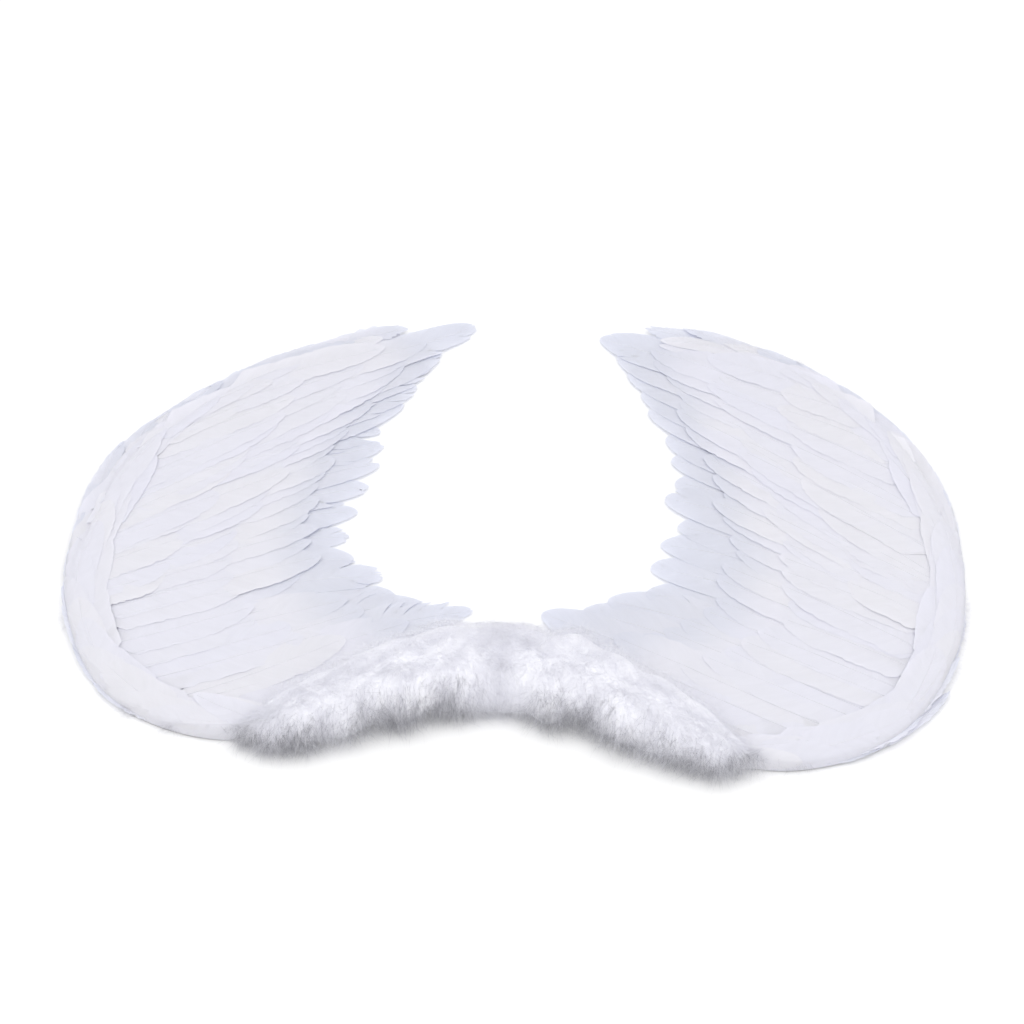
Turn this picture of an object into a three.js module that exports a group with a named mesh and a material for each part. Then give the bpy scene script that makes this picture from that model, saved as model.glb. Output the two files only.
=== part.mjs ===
// Feather costume wings lying face up, tips away from the viewer.
// One felt backing is cut to the outline of both wings. Flight feathers run in from the rim towards the
// gap between the wings, two rows of coverts lie over them, short feathers wrap the rim, and a marabou
// trim covers the middle of the near edge.
// Millimetres, +Z up, +X to the wearer's right, +Y towards the wing tips.
// The origin is the centre of the box's bottom, on the surface that the wings lie on.
import * as THREE from "three";

// Clearance between neighbouring pieces.
const GAP = 0.3;

// Felt backing.
const BACKING_THICKNESS = 2;
const BACKING_RIM_INSET = 3;
const BACKING_INNER_INSET = 50;
const BACKING_MID_Y = -106;
const BACKING_RIM_STEPS = 30;
const BACKING_INNER_STEPS = 12;

// Outer edge of the right wing, from the middle of the near edge, round the side and up to the tip.
const RIM = [
  { x: 0, y: -158 },
  { x: 62, y: -166 },
  { x: 118, y: -189 },
  { x: 178, y: -200 },
  { x: 246, y: -172 },
  { x: 289, y: -100 },
  { x: 300, y: -15 },
  { x: 289, y: 65 },
  { x: 248, y: 134 },
  { x: 184, y: 186 },
  { x: 112, y: 212 },
  { x: 52, y: 206 },
];

// Inner edge of the right wing, where the flight feathers end, from the middle up to the tip.
// The angle is the feather's lean from -X towards +Y, and the length is the whole feather's.
const FLIGHT_TIPS = [
  { x: 16, y: -104, angle: 27, length: 135 },
  { x: 17, y: -84, angle: 28, length: 150 },
  { x: 50, y: -72, angle: 27, length: 162 },
  { x: 80, y: -58, angle: 26, length: 168 },
  { x: 94, y: -34, angle: 26, length: 174 },
  { x: 101, y: 0, angle: 28, length: 180 },
  { x: 101, y: 40, angle: 33, length: 185 },
  { x: 95, y: 88, angle: 37, length: 185 },
  { x: 84, y: 132, angle: 38, length: 182 },
  { x: 68, y: 170, angle: 35, length: 168 },
  { x: 50, y: 200, angle: 28, length: 145 },
];

// Flight feathers: shingled blades, each with its near edge over the feather before it.
const FLIGHT_COUNT = 17;
const FLIGHT_WIDTH = 33;
const FLIGHT_ROLL = 6;
const SHAFT_THICKNESS = 0.9;
const EDGE_THICKNESS = 0.5;
const SHAFT_CAMBER = 0.8;
const BLADE = [
  { along: 0, width: 0.1 },
  { along: 0.08, width: 0.3 },
  { along: 0.22, width: 0.78 },
  { along: 0.45, width: 1 },
  { along: 0.72, width: 0.96 },
  { along: 0.88, width: 0.74 },
  { along: 0.96, width: 0.46 },
  { along: 1, width: 0.14 },
];

// Covert rows, each one solid that shows its feathers: how far its tips lie inside the flight tips, its
// length as a share of the flight feather under it, and the stretch of the inner edge that it follows.
const COVERT_ROWS = [
  { name: "middle_coverts", inset: 45, share: 0.72, from: 0.1, to: 0.99, feathers: 15 },
  { name: "upper_coverts", inset: 92, share: 0.45, from: 0.36, to: 0.94, feathers: 9 },
];
const COVERT_TIP_DEPTH = 8;
const COVERT_CROWN = 0.9;
const COVERT_PROFILE = [
  { along: 0, thickness: 0.7 },
  { along: 0.18, thickness: 1.2 },
  { along: 0.6, thickness: 1.3 },
  { along: 1, thickness: 0.7 },
];
const COVERT_ROW_HEIGHT = 2.2;

// Rim coverts: a band over the roots of the other rows, with a lip that wraps the backing's edge.
const RIM_BAND = 42;
const RIM_LIP = 2.5;
const RIM_THICKNESS = 1.6;
const RIM_ROUNDING = 2.5;
const RIM_SCALLOP = 5;
const RIM_FEATHERS = 18;
const RIM_FROM = 0.204;
const RIM_TO = 0.93;

// Marabou trim of one side, a section for each share of the rim: how far it reaches in over the wing and
// hangs past the rim, and the heights of its top and of its underside on the wing.
const MARABOU = [
  { share: 0, reach: 58, overhang: 14, top: 25, base: 2.3 },
  { share: 0.043, reach: 57, overhang: 18, top: 28, base: 9.4 },
  { share: 0.087, reach: 50, overhang: 22, top: 27, base: 9.4 },
  { share: 0.135, reach: 42, overhang: 22, top: 24, base: 9.4 },
  { share: 0.174, reach: 28, overhang: 18, top: 20, base: 9.4 },
  { share: 0.199, reach: 15, overhang: 9, top: 15, base: 9.4 },
];
const MARABOU_DROP = 1;
const MARABOU_UNDERCUT = 0.3;
const MARABOU_ARC_STEPS = 9;
// Under 1, it makes the arc over the down flatter on top and steeper at its sides than an ellipse.
const MARABOU_ROUNDING = 0.75;

// The left wing lies with its shoulder drawn in.
const SHOULDER_SLUMP = { right: 0, left: 20 };
const SLUMP_DIRECTION = { x: -0.6, y: -0.8 };
const SLUMP_X = { from: 60, to: 200 };
const SLUMP_Y = { from: -15, to: 130 };

const MATERIALS = {
  felt: new THREE.MeshStandardMaterial({ color: 0xf0eff4, roughness: 0.95, metalness: 0 }),
  flight: new THREE.MeshStandardMaterial({ color: 0xdde0eb, roughness: 0.6, metalness: 0 }),
  covert: new THREE.MeshStandardMaterial({ color: 0xebebf4, roughness: 0.65, metalness: 0 }),
  down: new THREE.MeshStandardMaterial({ color: 0xeae9f3, roughness: 0.9, metalness: 0 }),
};

const { degToRad, lerp, smoothstep } = THREE.MathUtils;

// Heights of the layers, stacked with a gap between each two.
const FLIGHT_RISE = (FLIGHT_WIDTH / 2) * Math.tan(degToRad(FLIGHT_ROLL));
const FLIGHT_LEVEL = BACKING_THICKNESS + GAP + FLIGHT_RISE + EDGE_THICKNESS;
const COVERT_LEVEL = FLIGHT_LEVEL + FLIGHT_RISE + GAP;
const RIM_LEVEL = COVERT_LEVEL + COVERT_ROWS.length * (COVERT_ROW_HEIGHT + GAP);
const RIM_TOP = RIM_LEVEL + RIM_THICKNESS;

// A smooth curve through a table's x and y, read by share of its length, with the other columns along it.
function tableCurve(table) {
  const points = table.map((row) => new THREE.Vector3(row.x, row.y, 0));
  const curve = new THREE.CatmullRomCurve3(points, false, "centripetal");
  return {
    point: (share) => curve.getPointAt(share),
    tangent: (share) => curve.getTangentAt(share),
    value(share, column) {
      const place = curve.getUtoTmapping(share) * (table.length - 1);
      const row = Math.min(Math.floor(place), table.length - 2);
      return lerp(table[row][column], table[row + 1][column], place - row);
    },
  };
}

const rim = tableCurve(RIM);
const flightTips = tableCurve(FLIGHT_TIPS);

// A point of a wing, moved by the wing's slump.
function settled(x, y, z, slump) {
  const share = smoothstep(x, SLUMP_X.from, SLUMP_X.to) * smoothstep(y, SLUMP_Y.from, SLUMP_Y.to);
  return new THREE.Vector3(
    x + slump * share * SLUMP_DIRECTION.x,
    y + slump * share * SLUMP_DIRECTION.y,
    z,
  );
}

// The way that the feather at a share of the inner edge points.
function featherDirection(share) {
  const angle = degToRad(flightTips.value(share, "angle"));
  return new THREE.Vector3(-Math.cos(angle), Math.sin(angle), 0);
}

// A point of that feather's line, a distance back from the flight feather's tip.
function behindTip(share, distance) {
  return flightTips.point(share).addScaledVector(featherDirection(share), -distance);
}

// A point a distance inside the rim.
function insideRim(share, distance) {
  const tangent = rim.tangent(share);
  return rim.point(share).add(new THREE.Vector3(-tangent.y, tangent.x, 0).multiplyScalar(distance));
}

// A closed solid through sections with the same number of points. Each section has its points in space
// and the flat contour that closes the solid's ends.
function loft(sections) {
  const count = sections[0].points.length;
  const positions = sections.flatMap((section) => section.points.flatMap((point) => point.toArray()));
  const faces = [];
  for (let s = 0; s < sections.length - 1; s++) {
    for (let i = 0; i < count; i++) {
      const a = s * count + i;
      const b = s * count + ((i + 1) % count);
      faces.push([a, b, b + count], [a, b + count, a + count]);
    }
  }
  const last = (sections.length - 1) * count;
  faces.push(...contourFaces(sections[0].contour).map(([a, b, c]) => [a, c, b]));
  faces.push(...contourFaces(sections.at(-1).contour).map((face) => face.map((index) => last + index)));
  const geometry = new THREE.BufferGeometry();
  geometry.setAttribute("position", new THREE.Float32BufferAttribute(positions, 3));
  const facesOut = signedVolume(positions, faces) > 0 ? faces : faces.map(([a, b, c]) => [a, c, b]);
  geometry.setIndex(facesOut.flat());
  geometry.computeVertexNormals();
  return geometry;
}

// A flat contour as triangles that run round the way the contour does.
function contourFaces(contour) {
  const turn = Math.sign(THREE.ShapeUtils.area(contour));
  return THREE.ShapeUtils.triangulateShape(contour, []).map(([a, b, c]) => {
    const area = THREE.ShapeUtils.area([contour[a], contour[b], contour[c]]);
    return Math.sign(area) === turn ? [a, b, c] : [a, c, b];
  });
}

// The volume that triangles enclose, negative where they face in.
function signedVolume(positions, faces) {
  const corner = (index) => new THREE.Vector3().fromArray(positions, index * 3);
  return faces.reduce((sum, [a, b, c]) => sum + corner(a).dot(corner(b).cross(corner(c))) / 6, 0);
}

// One flight feather, a thin blade whose shaft is its ridge.
function flightFeather(share, slump) {
  const direction = featherDirection(share);
  const across = new THREE.Vector3(direction.y, -direction.x, 0);
  const length = flightTips.value(share, "length");
  const slope = -Math.tan(degToRad(FLIGHT_ROLL));
  const sections = BLADE.map(({ along, width }) => {
    const half = (FLIGHT_WIDTH * width) / 2;
    const crown = SHAFT_CAMBER * width;
    const contour = [
      new THREE.Vector2(-half, -half * slope),
      new THREE.Vector2(0, crown),
      new THREE.Vector2(half, half * slope),
      new THREE.Vector2(half, half * slope - EDGE_THICKNESS),
      new THREE.Vector2(0, crown - SHAFT_THICKNESS),
      new THREE.Vector2(-half, -half * slope - EDGE_THICKNESS),
    ];
    const centre = behindTip(share, length * (1 - along));
    const points = contour.map(({ x, y }) =>
      settled(centre.x + across.x * x, centre.y + across.y * x, FLIGHT_LEVEL + y, slump),
    );
    return { points, contour };
  });
  return loft(sections);
}

// How far a share lies through its own feather of a row, as the rounded profile of that feather.
function featherRound(share, feathers) {
  return Math.abs(Math.sin(Math.PI * share * feathers));
}

// A row of coverts as one solid with scalloped tips.
function covertRow(row, level, slump) {
  const steps = row.feathers * 4;
  const sections = Array.from({ length: steps + 1 }, (_, step) => {
    const share = lerp(row.from, row.to, step / steps);
    const round = featherRound(step / steps, row.feathers);
    const length = flightTips.value(share, "length") * row.share;
    const tipInset = COVERT_TIP_DEPTH * (1 - round);
    const top = COVERT_PROFILE.map(({ along, thickness }) => {
      const distance = lerp(tipInset, length, along);
      return new THREE.Vector2(distance, thickness + COVERT_CROWN * round);
    });
    const bottom = top.map(({ x }) => new THREE.Vector2(x, 0)).reverse();
    const contour = [...top, ...bottom];
    const points = contour.map(({ x, y }) => {
      const place = behindTip(share, row.inset + x);
      return settled(place.x, place.y, level + y, slump);
    });
    return { points, contour };
  });
  return loft(sections);
}

// The band of short feathers that covers the roots and wraps the rim.
function rimCoverts(slump) {
  const steps = RIM_FEATHERS * 4;
  const sections = Array.from({ length: steps + 1 }, (_, step) => {
    const share = lerp(RIM_FROM, RIM_TO, step / steps);
    const band = RIM_BAND - RIM_SCALLOP * (1 - featherRound(step / steps, RIM_FEATHERS));
    const contour = [
      new THREE.Vector2(0, 0),
      new THREE.Vector2(0, RIM_TOP - RIM_ROUNDING),
      new THREE.Vector2(RIM_ROUNDING, RIM_TOP),
      new THREE.Vector2(band, RIM_LEVEL + RIM_THICKNESS / 2),
      new THREE.Vector2(band, RIM_LEVEL),
      new THREE.Vector2(RIM_LIP, RIM_LEVEL),
      new THREE.Vector2(RIM_LIP, 0),
    ];
    const points = contour.map(({ x, y }) => {
      const place = insideRim(share, x);
      return settled(place.x, place.y, y, slump);
    });
    return { points, contour };
  });
  return loft(sections);
}

// One side of the marabou trim, the outer form of its down, which droops over the near edge.
function marabou() {
  const sections = MARABOU.map(({ share, reach, overhang, top, base }) => {
    const edge = rim.point(share);
    const middle = edge.y + (reach - overhang) / 2;
    const half = (reach + overhang) / 2;
    const contour = Array.from({ length: MARABOU_ARC_STEPS + 1 }, (_, step) => {
      const angle = (Math.PI * step) / MARABOU_ARC_STEPS;
      const across = Math.sign(Math.cos(angle)) * Math.abs(Math.cos(angle)) ** MARABOU_ROUNDING;
      const up = Math.sin(angle) ** MARABOU_ROUNDING;
      return new THREE.Vector2(middle + half * across, base + (top - base) * up);
    });
    contour.push(
      new THREE.Vector2(edge.y - overhang * (1 - MARABOU_UNDERCUT), MARABOU_DROP),
      new THREE.Vector2(edge.y, MARABOU_DROP),
      new THREE.Vector2(edge.y, base),
    );
    const x = Math.max(edge.x, GAP / 2);
    const points = contour.map((point) => new THREE.Vector3(x, point.x, point.y));
    return { points, contour };
  });
  return loft(sections);
}

// Half of the backing's outline, from the middle of the near edge round to the middle of the far edge.
function backingOutline(slump) {
  const outer = Array.from({ length: BACKING_RIM_STEPS + 1 }, (_, step) => {
    const place = insideRim(lerp(0, RIM_TO, step / BACKING_RIM_STEPS), BACKING_RIM_INSET);
    return settled(place.x, place.y, 0, slump);
  });
  const inner = Array.from({ length: BACKING_INNER_STEPS + 1 }, (_, step) => {
    const place = behindTip(lerp(0.97, 0.06, step / BACKING_INNER_STEPS), BACKING_INNER_INSET);
    return settled(place.x, place.y, 0, slump);
  });
  outer[0].x = 0;
  return [...outer, ...inner].map(({ x, y }) => new THREE.Vector2(x, y));
}

// The felt sheet under both wings.
function backing() {
  const right = backingOutline(SHOULDER_SLUMP.right);
  const left = backingOutline(SHOULDER_SLUMP.left).map(({ x, y }) => new THREE.Vector2(-x, y));
  const middle = new THREE.Vector2(0, BACKING_MID_Y);
  const shape = new THREE.Shape([...right, middle, ...left.slice(1).reverse()]);
  return new THREE.ExtrudeGeometry(shape, { depth: BACKING_THICKNESS, bevelEnabled: false });
}

function piece(name, geometry, material) {
  const mesh = new THREE.Mesh(geometry, material);
  mesh.name = name;
  return mesh;
}

// All the pieces of one wing, modelled as the right wing. The left one is mirrored.
function wing(side) {
  const slump = SHOULDER_SLUMP[side];
  const group = new THREE.Group();
  for (let feather = 0; feather < FLIGHT_COUNT; feather++) {
    const name = `${side}_flight_feather_${String(feather + 1).padStart(2, "0")}`;
    const share = feather / (FLIGHT_COUNT - 1);
    group.add(piece(name, flightFeather(share, slump), MATERIALS.flight));
  }
  COVERT_ROWS.forEach((row, index) => {
    const level = COVERT_LEVEL + index * (COVERT_ROW_HEIGHT + GAP);
    group.add(piece(`${side}_${row.name}`, covertRow(row, level, slump), MATERIALS.covert));
  });
  group.add(piece(`${side}_rim_coverts`, rimCoverts(slump), MATERIALS.covert));
  group.add(piece(`${side}_marabou`, marabou(), MATERIALS.down));
  group.scale.x = side === "left" ? -1 : 1;
  return group;
}

const wings = new THREE.Group();
wings.add(piece("backing", backing(), MATERIALS.felt));
wings.add(wing("right"));
wings.add(wing("left"));

export default wings;
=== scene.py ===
"""Looks of the feather costume wings: single feathers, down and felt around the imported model.

Metres, +Z up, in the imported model's frame. Feathers and down are arrays of points and faces, joined into
one mesh for each piece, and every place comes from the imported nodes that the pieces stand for.
"""

import math
from dataclasses import dataclass, replace
from functools import partial

import bpy
import numpy as np
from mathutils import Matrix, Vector
from mathutils.bvhtree import BVHTree


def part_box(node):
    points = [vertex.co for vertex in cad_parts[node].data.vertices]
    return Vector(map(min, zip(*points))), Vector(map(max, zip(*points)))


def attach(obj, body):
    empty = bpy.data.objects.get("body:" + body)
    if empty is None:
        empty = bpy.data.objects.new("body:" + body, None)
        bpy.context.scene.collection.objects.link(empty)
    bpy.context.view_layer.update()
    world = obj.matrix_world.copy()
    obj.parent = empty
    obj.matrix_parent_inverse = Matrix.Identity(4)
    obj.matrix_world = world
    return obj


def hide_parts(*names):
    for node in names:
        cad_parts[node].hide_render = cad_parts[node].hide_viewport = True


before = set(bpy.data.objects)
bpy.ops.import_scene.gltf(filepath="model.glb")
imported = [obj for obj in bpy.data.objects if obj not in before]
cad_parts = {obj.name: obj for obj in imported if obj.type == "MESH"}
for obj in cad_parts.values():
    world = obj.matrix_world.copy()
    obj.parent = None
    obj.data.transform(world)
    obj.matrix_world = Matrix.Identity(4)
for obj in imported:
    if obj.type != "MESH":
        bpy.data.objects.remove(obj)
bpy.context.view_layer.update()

UP = np.array([0.0, 0.0, 1.0])
SIDES = ("right", "left")

# The camera of the photograph.
CAMERA_AZIMUTH = 4.0
CAMERA_ELEVATION = 45.0
CAMERA_DISTANCE = 1.28
CAMERA_LENS = 65.0
CAMERA_TARGET = Vector((-0.004, 0.010, 0.0))

# The floor lies just below the felt, and hairs and rim feathers keep above it.
FLOOR_SIZE = 6.0
FLOOR_DROP = 0.0002
FLOOR_CLEARANCE = 0.0008

# Soft light.
KEY_PLACE = (0.0, -0.4, 2.0)
KEY_SIZE = 3.0
KEY_ENERGY = 23.0
WORLD_STRENGTH = 0.90
DIFFUSE_BOUNCES = 8

# Colours. A pair is mixed from place to place, or from feather to feather.
FLIGHT_WHITES = ((0.893, 0.902, 0.953, 1), (0.910, 0.910, 0.953, 1))
COVERT_WHITES = ((0.932, 0.932, 0.982, 1), (0.943, 0.940, 0.968, 1))
HAIR_WHITES = ((0.900, 0.900, 0.933, 1), (0.910, 0.910, 0.938, 1))
CORE_WHITES = ((0.885, 0.885, 0.92, 1), (0.895, 0.895, 0.925, 1))
FELT_WHITES = ((0.70, 0.70, 0.74, 1), (0.86, 0.86, 0.90, 1))
FLOOR_WHITES = ((0.93, 0.93, 0.93, 1), (0.95, 0.95, 0.95, 1))
QUILL_COLOUR = (0.935, 0.932, 0.965, 1)
# Painted shade: thin single-layer tips fade to this bluish grey, standing in for the shade they lie in and
# the light that comes through them.
TIP_PAINTED_SHADE = (0.855, 0.868, 0.928, 1)
# Painted shade: hair and the underside of the down take this grey where they fall into shade.
PAINTED_SHADE_GREY = (0.47, 0.47, 0.50, 1)
# Painted light: hair takes this brighter white where it would otherwise look shaded.
PAINTED_LIGHT_WHITE = (0.955, 0.955, 0.978, 1)

# Shares of the light that come through.
VANE_SEE_THROUGH = 0.45
HAIR_SEE_THROUGH = 0.5

# Feathers. Barbs leave the shaft at angles that narrow from root to tip, and stations crowd towards the tip.
SHARP_ANGLE = 55.0
VANE_THICKNESS = 0.00010
VANE_END = 0.995
VANE_RIPPLE = 0.00007
VANE_WAVES = (1.5, 3.0)
TIP_CROWDING = 1.4
BARB_ANGLES = (62.0, 24.0)
BARB_CURVE = 1.3
REACH_ROUNDS = 24
SHAFT_RINGS = 16
SHAFT_END = 0.96
SHAFT_TIP = 0.00015
SHAFT_LIFT = 0.4
SPLIT_FADE = 3.5
SPLIT_CLOSE = 0.48
SPLIT_OPENINGS = (0.15, 1.0)
SPINE_POINTS = 33
MILLIMETRES = 1000

# Hairs of down.
DOWN_RADIUS = 0.00006
DOWN_TAPER = 0.35
DOWN_SEED = 0.5  # stands where a feather has its own number
DOWN_STEPS = np.array([0.0, 0.5, 1.0])


@dataclass(frozen=True)
class FeatherKind:
    """Shape of one kind of feather. Shares are of its length, and lengths are in metres."""

    width: float
    near_share: float  # of the width, on the side of the shaft that lies nearer to the wing's near edge
    bare: float  # share of the shaft with no vane
    full: float  # share at which the vane is full width
    shoulder: float  # share at which it begins to narrow to the tip
    blunt: float  # powers that round the tip
    point: float
    camber: float  # how far the edges hang
    wave: float  # how far the edges swing up and down
    fray: float  # most that a barb falls short, as a share
    quill: float  # radius of the shaft at the root
    stations: int  # rows of points along a vane
    cells: int  # faces across it
    splits: float = 0.0  # how many, on average
    opening: float = 0.0  # of the widest split
    thin: float = 0.0  # how far its tip fades to a bluish grey of painted shade, for a thin vane
    fade: float = 0.45  # share at which it begins to fade


FLIGHT = FeatherKind(
    width=0.040, near_share=0.45, bare=0.03, full=0.30, shoulder=0.70, blunt=2.0, point=0.54,
    camber=0.0003, wave=0.0002, fray=0.03, quill=0.0005, stations=60, cells=5, thin=0.8,
)
COVERT = FeatherKind(
    width=0.032, near_share=0.46, bare=0.0, full=0.16, shoulder=0.62, blunt=2.0, point=0.60,
    camber=0.0002, wave=0.0001, fray=0.12, quill=0.0003, stations=38, cells=4, fade=0.65,
)
RIM = FeatherKind(
    width=0.027, near_share=0.50, bare=0.0, full=0.20, shoulder=0.50, blunt=2.1, point=0.60,
    camber=0.0001, wave=0.0001, fray=0.06, quill=0.0003, stations=30, cells=4,
)
EDGE = FeatherKind(
    width=0.022, near_share=0.50, bare=0.02, full=0.30, shoulder=0.50, blunt=2.0, point=0.62,
    camber=0.0004, wave=0.0004, fray=0.35, quill=0.0004, stations=32, cells=4,
    splits=2.5, opening=0.0030, thin=0.8,
)


def rng_for(name):
    """Random numbers of one piece's own, the same in each run."""
    return np.random.default_rng(list(name.encode()))


def smoothstep(low, high, value):
    share = np.clip((value - low) / (high - low), 0, 1)
    return share * share * (3 - 2 * share)


def eased(share, knots):
    """Values along knots of (share, value), with a level stretch at each knot."""
    shares, values = np.array(knots, float).T
    first = np.clip(np.searchsorted(shares, share, side="right") - 1, 0, len(shares) - 2)
    step = smoothstep(shares[first], shares[first + 1], share)
    return values[first] + (values[first + 1] - values[first]) * step


def read(table, place):
    """The value at a place in a table of (place, value), in straight lines between its rows."""
    return np.interp(place, *zip(*table))


def unit(vectors):
    return vectors / np.linalg.norm(vectors, axis=-1, keepdims=True)


def node_points(name):
    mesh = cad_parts[name].data
    flat = np.empty(len(mesh.vertices) * 3, np.float32)
    mesh.vertices.foreach_get("co", flat)
    return flat.reshape(-1, 3).astype(float)


def add_object(name, data):
    made = bpy.data.objects.new(name, data)
    bpy.context.scene.collection.objects.link(made)
    return made


class Line:
    """A polyline read by distance along it."""

    def __init__(self, points):
        self.points = np.asarray(points, float)
        steps = np.linalg.norm(np.diff(self.points, axis=0), axis=1)
        self.reach = np.concatenate([[0.0], np.cumsum(steps)])
        self.length = self.reach[-1]
        self.tangents = unit(np.gradient(self.points, self.reach, axis=0))

    def at(self, distance):
        return self._read(distance, self.points)

    def tangent(self, distance):
        return unit(self._read(distance, self.tangents))

    def _read(self, distance, rows):
        return np.stack([np.interp(distance, self.reach, rows[:, axis]) for axis in range(3)], axis=-1)


class Skin:
    """Points and faces of one piece, gathered from many closed parts. A triangle's fourth corner is -1."""

    def __init__(self):
        self.points, self.faces, self.barbs, self.looks = [], [], [], []
        self.count = 0

    def add(self, points, faces, barbs, look, thin=0.0):
        """barbs are texture places in millimetres, look is three numbers, and thin fades to the painted shade
        of a thin vane.
        """
        self.points.append(points)
        self.faces.append(np.where(faces < 0, -1, faces + self.count))
        self.barbs.append(barbs)
        rows = np.tile([*look, 0.0], (len(points), 1))
        rows[:, 3] = thin
        self.looks.append(rows)
        self.count += len(points)

    def piece(self, name, material, nodes=()):
        """Makes the piece, which rides on the part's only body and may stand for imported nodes."""
        faces = np.concatenate(self.faces)
        corners = faces[faces >= 0]
        totals = (faces >= 0).sum(axis=1)
        mesh = bpy.data.meshes.new(name)
        mesh.vertices.add(self.count)
        mesh.vertices.foreach_set("co", np.concatenate(self.points).astype(np.float32).ravel())
        mesh.loops.add(len(corners))
        mesh.loops.foreach_set("vertex_index", corners.astype(np.int32))
        mesh.polygons.add(len(faces))
        mesh.polygons.foreach_set("loop_start", (np.cumsum(totals) - totals).astype(np.int32))
        barbs = mesh.uv_layers.new(name="barbs")
        barbs.data.foreach_set("uv", np.concatenate(self.barbs)[corners].astype(np.float32).ravel())
        looks = mesh.attributes.new("look", "FLOAT_COLOR", "POINT")
        looks.data.foreach_set("color", np.concatenate(self.looks).astype(np.float32).ravel())
        mesh.update(calc_edges=True)
        mesh.validate()
        mesh.polygons.foreach_set("use_smooth", np.ones(len(mesh.polygons), bool))
        mesh.set_sharp_from_angle(angle=math.radians(SHARP_ANGLE))
        mesh.materials.append(material)
        made = add_object(name, mesh)
        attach(made, "root")
        if nodes:
            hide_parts(*nodes)


def outline(kind, share):
    """Half width of a vane along its feather, as a share of its widest."""
    narrow = np.clip((share - kind.shoulder) / (1 - kind.shoulder), 0, 1)
    return smoothstep(kind.bare, kind.full, share) * (1 - narrow**kind.blunt) ** kind.point


def barb_reach(kind, length, half_width, along, angle):
    """How far the barb from each place on the shaft runs before it meets the outline."""
    low = np.zeros_like(along)
    high = half_width / np.sin(angle)
    for _ in range(REACH_ROUNDS):
        reach = (low + high) / 2
        edge = half_width * outline(kind, (along + reach * np.cos(angle)) / length)
        inside = reach * np.sin(angle) < edge
        low = np.where(inside, reach, low)
        high = np.where(inside, high, reach)
    return low


def open_splits(kind, along, angle, ahead, out, rng):
    """Parts the barbs of a vane here and there, by moving its points, and says which cells are kept."""
    share = np.linspace(0, 1, kind.cells + 1)
    kept = np.ones((kind.stations - 1, kind.cells), bool)
    for _ in range(rng.poisson(kind.splits / 2)):
        at = rng.integers(kind.stations // 4, kind.stations - 4)
        start = rng.integers(1, kind.cells - 1)
        opening = kind.opening * rng.uniform(*SPLIT_OPENINGS)
        past = np.arange(kind.stations) - at
        push = np.where(past > 0, np.exp(-(past - 1) / SPLIT_FADE), -np.exp(past / SPLIT_FADE)) * opening / 2
        shift = push[:, None] * np.clip((share - share[start]) / (1 - share[start]), 0, 1)
        shift[at, start:] += (along[at + 1] - along[at]) * SPLIT_CLOSE
        shift[at + 1, start:] -= (along[at + 1] - along[at]) * SPLIT_CLOSE
        ahead += shift * np.sin(angle)[:, None]
        out -= shift * np.cos(angle)[:, None]
        kept[at, start:] = False
    return kept


def vane(kind, length, half_width, side, rng):
    """One side of a feather laid flat, as a closed thin skin: points (along, across, up), faces, barbs."""
    crowded = 1 - (1 - np.linspace(0, 1, kind.stations)) ** TIP_CROWDING
    along = (kind.bare + (VANE_END - kind.bare) * crowded) * length
    evenness = np.gradient(along) / np.gradient(along).max()
    angle = np.radians(np.interp(along / length, (0, 1), BARB_ANGLES))
    reach = barb_reach(kind, length, half_width, along, angle)
    reach *= 1 - kind.fray * evenness * rng.random(kind.stations) ** 2
    share = np.linspace(0, 1, kind.cells + 1)
    out = reach[:, None] * np.sin(angle)[:, None] * (1 - (1 - share) ** BARB_CURVE)
    ahead = along[:, None] + reach[:, None] * np.cos(angle)[:, None] * share**BARB_CURVE
    ripple = (evenness * rng.normal(0, VANE_RIPPLE, kind.stations))[:, None] * share
    swing = kind.wave * np.sin(2 * np.pi * (along / length * rng.uniform(*VANE_WAVES) + rng.random()))
    height = ripple + swing[:, None] * share**2 - kind.camber * (out / half_width) ** 2
    kept = open_splits(kind, along, angle, ahead, out, rng)
    sheet = np.stack([ahead, side * out, height], axis=-1).reshape(-1, 3)
    columns = kind.cells + 1
    corner = (np.arange(kind.stations - 1)[:, None] * columns + np.arange(kind.cells))[kept]
    quads = np.column_stack([corner, corner + columns, corner + columns + 1, corner + 1])
    barbs = np.stack([along[:, None] + 0 * share, reach[:, None] * share], axis=-1).reshape(-1, 2)
    barbs *= MILLIMETRES
    points, faces = thicken(sheet, quads if side > 0 else quads[:, ::-1])
    return points, faces, np.concatenate([barbs, barbs])


def thicken(sheet, quads):
    """Closes a sheet of quads into a skin as thick as a vane."""
    count = len(sheet)
    below = sheet - VANE_THICKNESS * UP
    edges = np.concatenate([quads[:, [corner, (corner + 1) % 4]] for corner in range(4)])
    there = edges[:, 0] * count + edges[:, 1]
    back = edges[:, 1] * count + edges[:, 0]
    first, second = edges[~np.isin(there, back)].T
    walls = np.column_stack([second, first, first + count, second + count])
    return np.concatenate([sheet, below]), np.concatenate([quads, quads[:, ::-1] + count, walls])


def ring_quads(rings, size):
    """Faces between rings of points that follow one another."""
    ring, corner = np.meshgrid(np.arange(rings - 1), np.arange(size), indexing="ij")
    first, second = (ring * size + corner).ravel(), (ring * size + (corner + 1) % size).ravel()
    return np.column_stack([first, second, second + size, first + size])


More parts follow.
